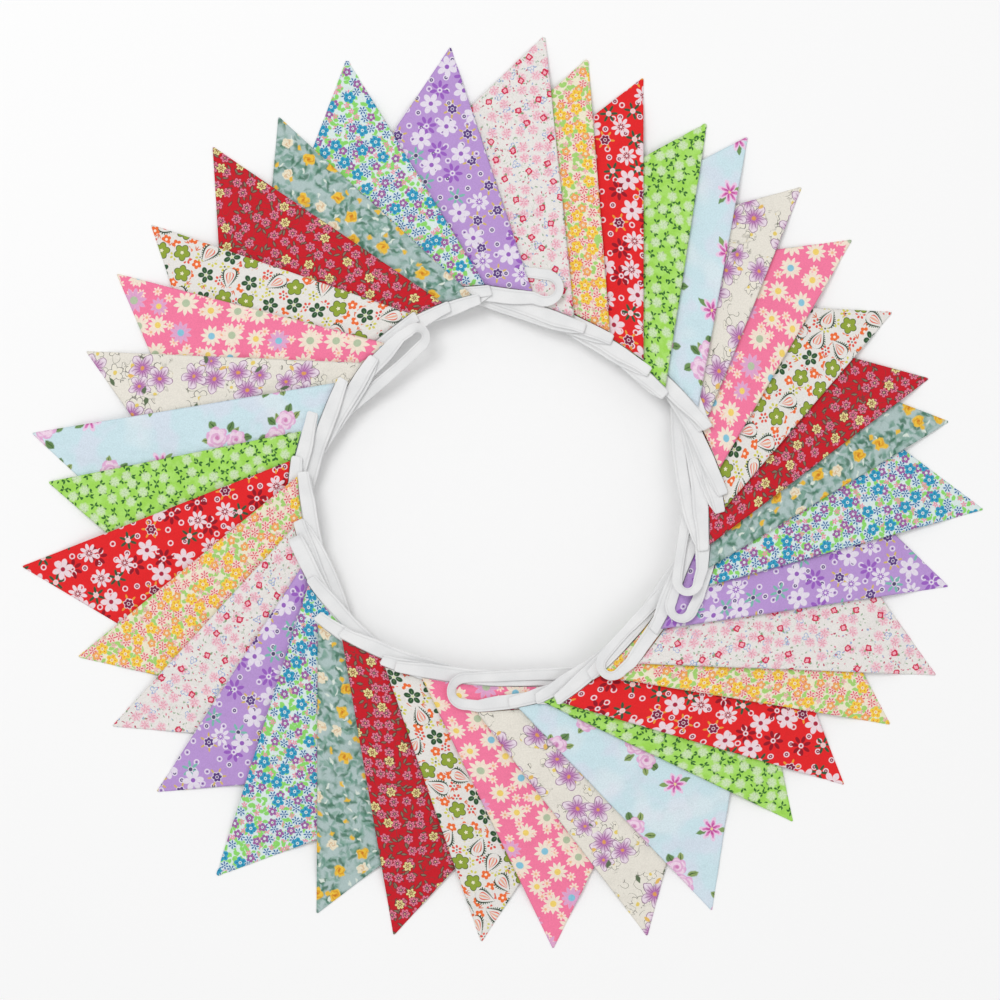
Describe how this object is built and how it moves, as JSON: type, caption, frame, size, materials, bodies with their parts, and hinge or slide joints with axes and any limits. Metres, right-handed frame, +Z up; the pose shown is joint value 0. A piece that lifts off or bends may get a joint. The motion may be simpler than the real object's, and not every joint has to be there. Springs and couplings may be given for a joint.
{
  "type": "fabric bunting",
  "caption": "Floral cotton pennant bunting laid in an overlapping ring, the pennants sewn by their top edges into one white binding tape.",
  "frame": {"origin": "centre of the bounding box at the height of the surface it lies on", "axes": "+Z up from the surface, the shortest extent; +Y towards the top of the picture and +X to its right"},
  "size_m": [0.7204, 0.6816, 0.0257],
  "materials": {
    "print_lilac": "matt, lilac cotton with white, purple and ochre flowers",
    "print_mauve_ditsy": "matt, white cotton with dense small blue, mauve and green flowers",
    "print_grey_teal": "matt, grey-teal cotton with blurred green leaves and yellow roses",
    "print_dark_red": "matt, dark red cotton with small pink and cream flowers",
    "print_ivory_paisley": "matt, ivory cotton with green, orange and paisley motifs",
    "print_pink_daisy": "matt, pink cotton with cream daisies",
    "print_ivory_line": "matt, ivory cotton with purple line-drawn flowers",
    "print_pale_blue_rose": "matt, pale blue cotton with sparse pink roses",
    "print_lime": "matt, lime cotton with pale blossoms",
    "print_red_floral": "matt, red cotton with white and maroon flowers",
    "print_yellow_ditsy": "matt, cream cotton with small yellow and orange flowers",
    "print_white_rosebud": "matt, white cotton with small pink rosebuds",
    "tape_white": "matt white cotton binding, folded double"
  },
  "bodies": {
    "root": {"pennant_01": "print_lilac", "pennant_02": "print_mauve_ditsy", "pennant_03": "print_grey_teal", "pennant_04": "print_dark_red", "pennant_05": "print_ivory_paisley", "pennant_06": "print_pink_daisy", "pennant_07": "print_ivory_line", "pennant_08": "print_pale_blue_rose", "pennant_09": "print_lime", "pennant_10": "print_red_floral", "pennant_11": "print_yellow_ditsy", "pennant_12": "print_white_rosebud", "pennant_13": "print_lilac", "pennant_14": "print_mauve_ditsy", "pennant_15": "print_grey_teal", "pennant_16": "print_dark_red", "pennant_17": "print_ivory_paisley", "pennant_18": "print_pink_daisy", "pennant_19": "print_ivory_line", "pennant_20": "print_pale_blue_rose", "pennant_21": "print_lime", "pennant_22": "print_red_floral", "pennant_23": "print_yellow_ditsy", "pennant_24": "print_white_rosebud", "pennant_25": "print_lilac", "pennant_26": "print_mauve_ditsy", "pennant_27": "print_grey_teal", "pennant_28": "print_dark_red", "pennant_29": "print_ivory_paisley", "pennant_30": "print_pink_daisy", "pennant_31": "print_ivory_line", "pennant_32": "print_pale_blue_rose", "pennant_33": "print_lime", "pennant_34": "print_red_floral", "pennant_35": "print_yellow_ditsy", "pennant_36": "print_white_rosebud", "tape": "tape_white"}
  },
  "joints": []
}
